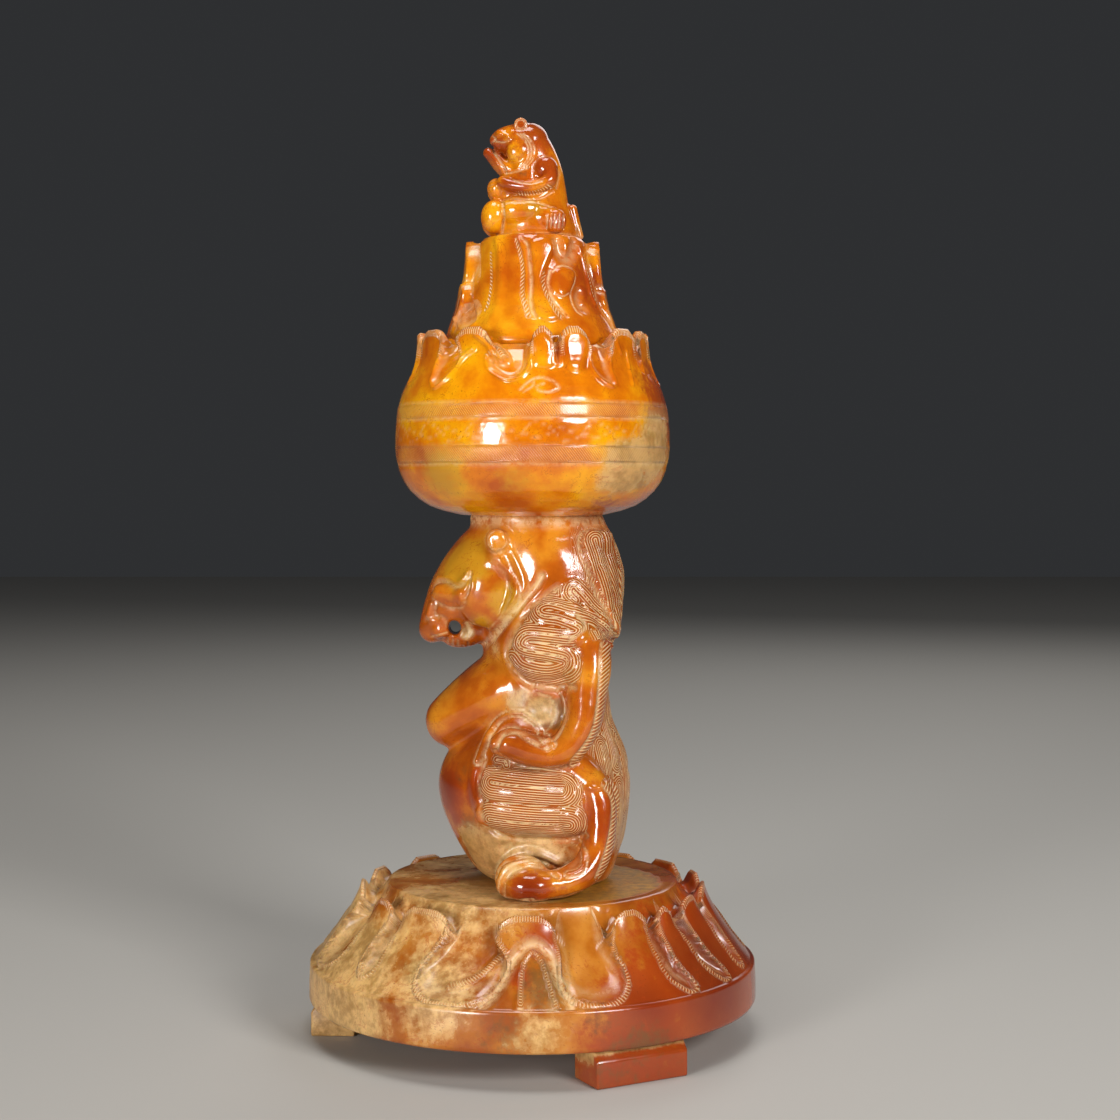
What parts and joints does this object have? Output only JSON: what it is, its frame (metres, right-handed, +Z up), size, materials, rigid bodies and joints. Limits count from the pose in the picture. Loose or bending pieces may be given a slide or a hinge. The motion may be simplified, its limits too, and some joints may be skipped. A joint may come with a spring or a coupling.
{
  "type": "jade hill censer carried by a bear",
  "caption": "Carved jade incense burner: a squatting bear carries a hollow round bowl on its head, with a lift-off mountain lid topped by a small bear, on a mountain-carved footed base.",
  "frame": {"origin": "on the surface that the feet stand on, under the middle of the round base", "axes": "+Z up; the bear faces -X; the side of the bear that the picture shows faces -Y"},
  "size_m": [0.144, 0.144, 0.2944],
  "materials": {
    "base_jade": "polished russet and tan nephrite with a dull brown crust",
    "bear_jade": "polished amber and russet nephrite, pale dust in the cuts",
    "lid_jade": "polished honey-yellow nephrite"
  },
  "bodies": {
    "root": {"base": "base_jade", "bear_and_bowl": "bear_jade", "lid": "lid_jade"}
  },
  "joints": []
}
